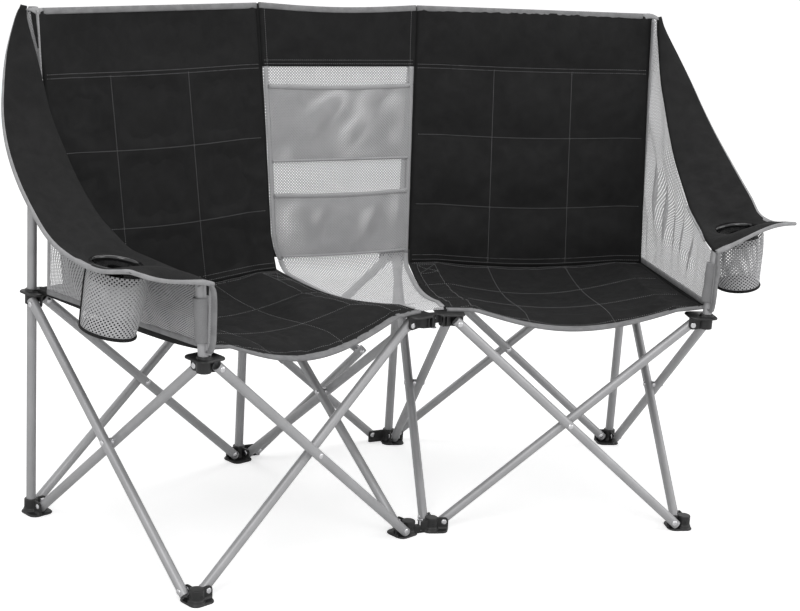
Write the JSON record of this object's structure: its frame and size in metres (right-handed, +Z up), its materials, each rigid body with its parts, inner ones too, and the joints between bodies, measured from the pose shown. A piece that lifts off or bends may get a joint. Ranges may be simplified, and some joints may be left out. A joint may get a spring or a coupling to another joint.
{
  "type": "folding camping loveseat",
  "caption": "Side-by-side folding camping chair with crossed-tube frame, padded seats and backs, mesh middle and arm cup holders.",
  "frame": {"origin": "on the floor, under the centre of the object's box", "axes": "+Z up, -Y is the front that the sitters face, +X is to the right as the front is looked at"},
  "size_m": [1.5134, 0.7254, 0.9667],
  "materials": {
    "grey_tube": "grey powder-coated steel tube, semi-gloss, with a soft light streak along it",
    "bright_steel": "bright zinc-plated pin and rivet heads",
    "black_plastic": "moulded black nylon with a fine matte grain",
    "black_fabric": "coated black polyester weave, padded and stitched, with grey edge binding",
    "light_mesh": "light grey open knitted mesh",
    "glossy_trim": "glossy black moulded ring"
  },
  "bodies": {
    "front_inner_feet": {"left_front_inner_foot": "black_plastic", "right_front_inner_foot": "black_plastic", "foot_hinge_pin": "bright_steel"},
    "front_inner_hubs": {"left_front_inner_hub": "black_plastic", "right_front_inner_hub": "black_plastic", "hub_hinge_pin": "bright_steel", "left_seat": "black_fabric", "right_seat": "black_fabric"},
    "left_front_outer_hub": {"left_front_outer_hub": "black_plastic", "left_arm_post": "grey_tube", "left_arm": "black_fabric", "left_side_mesh": "light_mesh", "left_cup_pouch": "light_mesh", "left_cup_ring": "glossy_trim"},
    "left_front_outer_foot": {"left_front_outer_foot": "black_plastic"},
    "left_rear_outer_hub": {"left_rear_outer_hub": "black_plastic"},
    "left_rear_outer_foot": {"left_rear_outer_foot": "black_plastic", "left_outer_pole": "grey_tube", "left_back": "black_fabric"},
    "left_rear_inner_hub": {"left_rear_inner_hub": "black_plastic"},
    "left_rear_inner_foot": {"left_rear_inner_foot": "black_plastic", "left_inner_pole": "grey_tube", "middle_panel": "light_mesh", "upper_pocket": "light_mesh", "lower_pocket": "light_mesh"},
    "left_front_outside_tube": {"left_front_outside_tube": "grey_tube"},
    "left_front_inside_tube": {"left_front_inside_tube": "grey_tube"},
    "left_side_outside_tube": {"left_side_outside_tube": "grey_tube"},
    "left_side_inside_tube": {"left_side_inside_tube": "grey_tube"},
    "left_inner_inside_tube": {"left_inner_inside_tube": "grey_tube"},
    "left_inner_outside_tube": {"left_inner_outside_tube": "grey_tube"},
    "left_back_inside_tube": {"left_back_inside_tube": "grey_tube"},
    "left_back_outside_tube": {"left_back_outside_tube": "grey_tube"},
    "right_front_outer_hub": {"right_front_outer_hub": "black_plastic", "right_arm_post": "grey_tube", "right_arm": "black_fabric", "right_side_mesh": "light_mesh", "right_cup_pouch": "light_mesh", "right_cup_ring": "glossy_trim"},
    "right_front_outer_foot": {"right_front_outer_foot": "black_plastic"},
    "right_rear_outer_hub": {"right_rear_outer_hub": "black_plastic"},
    "right_rear_outer_foot": {"right_rear_outer_foot": "black_plastic", "right_outer_pole": "grey_tube", "right_back": "black_fabric"},
    "right_rear_inner_hub": {"right_rear_inner_hub": "black_plastic"},
    "right_rear_inner_foot": {"right_rear_inner_foot": "black_plastic", "right_inner_pole": "grey_tube"},
    "right_front_inside_tube": {"right_front_inside_tube": "grey_tube"},
    "right_front_outside_tube": {"right_front_outside_tube": "grey_tube"},
    "right_side_inside_tube": {"right_side_inside_tube": "grey_tube"},
    "right_side_outside_tube": {"right_side_outside_tube": "grey_tube"},
    "right_inner_outside_tube": {"right_inner_outside_tube": "grey_tube"},
    "right_inner_inside_tube": {"right_inner_inside_tube": "grey_tube"},
    "right_back_outside_tube": {"right_back_outside_tube": "grey_tube"},
    "right_back_inside_tube": {"right_back_inside_tube": "grey_tube"},
    "middle_lower_front_tube": {"middle_lower_front_tube": "grey_tube"},
    "middle_lower_rear_tube": {"middle_lower_rear_tube": "grey_tube"},
    "middle_upper_rear_tube": {"middle_upper_rear_tube": "grey_tube"},
    "middle_upper_front_tube": {"middle_upper_front_tube": "grey_tube"}
  },
  "joints": [
    {"name": "fold", "type": "hinge", "parent": "front_inner_feet", "child": "left_front_outside_tube", "pos_m": [-0.04884, -0.15837, 0.018], "axis": [-0.3007, 0.9537, 0], "range_deg": [0, 43.02], "deforming": ["left_seat", "left_back", "left_arm", "left_side_mesh", "left_cup_pouch", "left_cup_ring", "right_seat", "right_back", "right_arm", "right_side_mesh", "right_cup_pouch", "right_cup_ring", "middle_panel", "upper_pocket", "lower_pocket"]},
    {"name": "left_front_outside_tube_top", "type": "hinge", "parent": "left_front_outside_tube", "child": "left_front_outer_hub", "pos_m": [-0.49232, -0.29819, 0.422], "axis": [-0.3007, 0.9537, 0], "range_deg": [-43.02, 0]},
    {"name": "left_front_crossing", "type": "hinge", "parent": "left_front_outside_tube", "child": "left_front_inside_tube", "pos_m": [-0.27058, -0.22828, 0.22], "axis": [-0.3007, 0.9537, 0], "range_deg": [-86.04, 0]},
    {"name": "left_front_inside_tube_foot", "type": "hinge", "parent": "left_front_inside_tube", "child": "left_front_outer_foot", "pos_m": [-0.49232, -0.29819, 0.018], "axis": [-0.3007, 0.9537, 0], "range_deg": [0, 43.02]},
    {"name": "left_front_inside_tube_top", "type": "hinge", "parent": "left_front_inside_tube", "child": "front_inner_hubs", "pos_m": [-0.04884, -0.15837, 0.422], "axis": [-0.3007, 0.9537, 0], "range_deg": [0, 43.02]},
    {"name": "left_side_outside_tube_foot", "type": "hinge", "parent": "left_front_outer_foot", "child": "left_side_outside_tube", "pos_m": [-0.52368, -0.28187, 0.018], "axis": [0.9537, 0.3007, 0], "range_deg": [0, 43.02]},
    {"name": "left_side_outside_tube_top", "type": "hinge", "parent": "left_side_outside_tube", "child": "left_rear_outer_hub", "pos_m": [-0.66351, 0.16161, 0.422], "axis": [0.9537, 0.3007, 0], "range_deg": [-43.02, 0]},
    {"name": "left_side_crossing", "type": "hinge", "parent": "left_side_outside_tube", "child": "left_side_inside_tube", "pos_m": [-0.5936, -0.06013, 0.22], "axis": [0.9537, 0.3007, 0], "range_deg": [-86.04, 0]},
    {"name": "left_side_inside_tube_foot", "type": "hinge", "parent": "left_side_inside_tube", "child": "left_rear_outer_foot", "pos_m": [-0.66351, 0.16161, 0.018], "axis": [0.9537, 0.3007, 0], "range_deg": [0, 43.02]},
    {"name": "left_inner_inside_tube_foot", "type": "hinge", "parent": "front_inner_feet", "child": "left_inner_inside_tube", "pos_m": [-0.03252, -0.12701, 0.018], "axis": [0.9537, 0.3007, 0], "range_deg": [0, 43.02]},
    {"name": "left_inner_inside_tube_top", "type": "hinge", "parent": "left_inner_inside_tube", "child": "left_rear_inner_hub", "pos_m": [-0.17235, 0.31647, 0.422], "axis": [0.9537, 0.3007, 0], "range_deg": [-43.02, 0]},
    {"name": "left_inner_crossing", "type": "hinge", "parent": "left_inner_inside_tube", "child": "left_inner_outside_tube", "pos_m": [-0.10243, 0.09473, 0.22], "axis": [0.9537, 0.3007, 0], "range_deg": [-86.04, 0]},
    {"name": "left_inner_outside_tube_foot", "type": "hinge", "parent": "left_inner_outside_tube", "child": "left_rear_inner_foot", "pos_m": [-0.17235, 0.31647, 0.018], "axis": [0.9537, 0.3007, 0], "range_deg": [0, 43.02]},
    {"name": "left_back_inside_tube_foot", "type": "hinge", "parent": "left_rear_inner_foot", "child": "left_back_inside_tube", "pos_m": [-0.20371, 0.3328, 0.018], "axis": [-0.3007, 0.9537, 0], "range_deg": [0, 43.02]},
    {"name": "left_back_crossing", "type": "hinge", "parent": "left_back_inside_tube", "child": "left_back_outside_tube", "pos_m": [-0.42545, 0.26288, 0.22], "axis": [-0.3007, 0.9537, 0], "range_deg": [-86.04, 0]},
    {"name": "right_front_inside_tube_foot", "type": "hinge", "parent": "front_inner_feet", "child": "right_front_inside_tube", "pos_m": [0.04884, -0.15837, 0.018], "axis": [-0.3007, -0.9537, 0], "range_deg": [0, 43.02]},
    {"name": "right_front_inside_tube_top", "type": "hinge", "parent": "right_front_inside_tube", "child": "right_front_outer_hub", "pos_m": [0.49232, -0.29819, 0.422], "axis": [-0.3007, -0.9537, 0], "range_deg": [-43.02, 0]},
    {"name": "right_front_crossing", "type": "hinge", "parent": "right_front_inside_tube", "child": "right_front_outside_tube", "pos_m": [0.27058, -0.22828, 0.22], "axis": [-0.3007, -0.9537, 0], "range_deg": [-86.04, 0]},
    {"name": "right_front_outside_tube_foot", "type": "hinge", "parent": "right_front_outside_tube", "child": "right_front_outer_foot", "pos_m": [0.49232, -0.29819, 0.018], "axis": [-0.3007, -0.9537, 0], "range_deg": [0, 43.02]},
    {"name": "right_side_inside_tube_foot", "type": "hinge", "parent": "right_front_outer_foot", "child": "right_side_inside_tube", "pos_m": [0.52368, -0.28187, 0.018], "axis": [0.9537, -0.3007, 0], "range_deg": [0, 43.02]},
    {"name": "right_side_inside_tube_top", "type": "hinge", "parent": "right_side_inside_tube", "child": "right_rear_outer_hub", "pos_m": [0.66351, 0.16161, 0.422], "axis": [0.9537, -0.3007, 0], "range_deg": [-43.02, 0]},
    {"name": "right_side_crossing", "type": "hinge", "parent": "right_side_inside_tube", "child": "right_side_outside_tube", "pos_m": [0.5936, -0.06013, 0.22], "axis": [0.9537, -0.3007, 0], "range_deg": [-86.04, 0]},
    {"name": "right_side_outside_tube_foot", "type": "hinge", "parent": "right_side_outside_tube", "child": "right_rear_outer_foot", "pos_m": [0.66351, 0.16161, 0.018], "axis": [0.9537, -0.3007, 0], "range_deg": [0, 43.02]},
    {"name": "right_inner_outside_tube_foot", "type": "hinge", "parent": "front_inner_feet", "child": "right_inner_outside_tube", "pos_m": [0.03252, -0.12701, 0.018], "axis": [0.9537, -0.3007, 0], "range_deg": [0, 43.02]},
    {"name": "right_inner_outside_tube_top", "type": "hinge", "parent": "right_inner_outside_tube", "child": "right_rear_inner_hub", "pos_m": [0.17235, 0.31647, 0.422], "axis": [0.9537, -0.3007, 0], "range_deg": [-43.02, 0]},
    {"name": "right_inner_crossing", "type": "hinge", "parent": "right_inner_outside_tube", "child": "right_inner_inside_tube", "pos_m": [0.10243, 0.09473, 0.22], "axis": [0.9537, -0.3007, 0], "range_deg": [-86.04, 0]},
    {"name": "right_inner_inside_tube_foot", "type": "hinge", "parent": "right_inner_inside_tube", "child": "right_rear_inner_foot", "pos_m": [0.17235, 0.31647, 0.018], "axis": [0.9537, -0.3007, 0], "range_deg": [0, 43.02]},
    {"name": "right_back_outside_tube_foot", "type": "hinge", "parent": "right_rear_inner_foot", "child": "right_back_outside_tube", "pos_m": [0.20371, 0.3328, 0.018], "axis": [-0.3007, -0.9537, 0], "range_deg": [0, 43.02]},
    {"name": "right_back_crossing", "type": "hinge", "parent": "right_back_outside_tube", "child": "right_back_inside_tube", "pos_m": [0.42545, 0.26288, 0.22], "axis": [-0.3007, -0.9537, 0], "range_deg": [-86.04, 0]},
    {"name": "middle_lower_front_tube_foot", "type": "hinge", "parent": "left_rear_inner_foot", "child": "middle_lower_front_tube", "pos_m": [-0.13983, 0.34032, 0.018], "axis": [0, -1, 0], "range_deg": [0, 43.02]},
    {"name": "middle_lower_crossing", "type": "hinge", "parent": "middle_lower_front_tube", "child": "middle_lower_rear_tube", "pos_m": [0, 0.34032, 0.13948], "axis": [0, -1, 0], "range_deg": [-86.04, 0]},
    {"name": "middle_right_side_pivot", "type": "hinge", "parent": "middle_lower_front_tube", "child": "middle_upper_rear_tube", "pos_m": [0.09267, 0.34032, 0.22], "axis": [0, -1, 0], "range_deg": [-86.04, 0]},
    {"name": "middle_upper_crossing", "type": "hinge", "parent": "middle_upper_rear_tube", "child": "middle_upper_front_tube", "pos_m": [0, 0.34032, 0.30051], "axis": [0, -1, 0], "range_deg": [0, 86.04]}
  ],
  "couplings": [
    {"joint": "left_front_outside_tube_top", "follows": "fold", "ratio": -1},
    {"joint": "left_front_crossing", "follows": "fold", "ratio": -2},
    {"joint": "left_front_inside_tube_foot", "follows": "fold", "ratio": 1},
    {"joint": "left_front_inside_tube_top", "follows": "fold", "ratio": 1},
    {"joint": "left_side_outside_tube_foot", "follows": "fold", "ratio": 1},
    {"joint": "left_side_outside_tube_top", "follows": "fold", "ratio": -1},
    {"joint": "left_side_crossing", "follows": "fold", "ratio": -2},
    {"joint": "left_side_inside_tube_foot", "follows": "fold", "ratio": 1},
    {"joint": "left_inner_inside_tube_foot", "follows": "fold", "ratio": 1},
    {"joint": "left_inner_inside_tube_top", "follows": "fold", "ratio": -1},
    {"joint": "left_inner_crossing", "follows": "fold", "ratio": -2},
    {"joint": "left_inner_outside_tube_foot", "follows": "fold", "ratio": 1},
    {"joint": "left_back_inside_tube_foot", "follows": "fold", "ratio": 1},
    {"joint": "left_back_crossing", "follows": "fold", "ratio": -2},
    {"joint": "right_front_inside_tube_foot", "follows": "fold", "ratio": 1},
    {"joint": "right_front_inside_tube_top", "follows": "fold", "ratio": -1},
    {"joint": "right_front_crossing", "follows": "fold", "ratio": -2},
    {"joint": "right_front_outside_tube_foot", "follows": "fold", "ratio": 1},
    {"joint": "right_side_inside_tube_foot", "follows": "fold", "ratio": 1},
    {"joint": "right_side_inside_tube_top", "follows": "fold", "ratio": -1},
    {"joint": "right_side_crossing", "follows": "fold", "ratio": -2},
    {"joint": "right_side_outside_tube_foot", "follows": "fold", "ratio": 1},
    {"joint": "right_inner_outside_tube_foot", "follows": "fold", "ratio": 1},
    {"joint": "right_inner_outside_tube_top", "follows": "fold", "ratio": -1},
    {"joint": "right_inner_crossing", "follows": "fold", "ratio": -2},
    {"joint": "right_inner_inside_tube_foot", "follows": "fold", "ratio": 1},
    {"joint": "right_back_outside_tube_foot", "follows": "fold", "ratio": 1},
    {"joint": "right_back_crossing", "follows": "fold", "ratio": -2},
    {"joint": "middle_lower_front_tube_foot", "follows": "fold", "ratio": 1},
    {"joint": "middle_lower_crossing", "follows": "fold", "ratio": -2},
    {"joint": "middle_right_side_pivot", "follows": "fold", "ratio": -2},
    {"joint": "middle_upper_crossing", "follows": "fold", "ratio": 2}
  ]
}
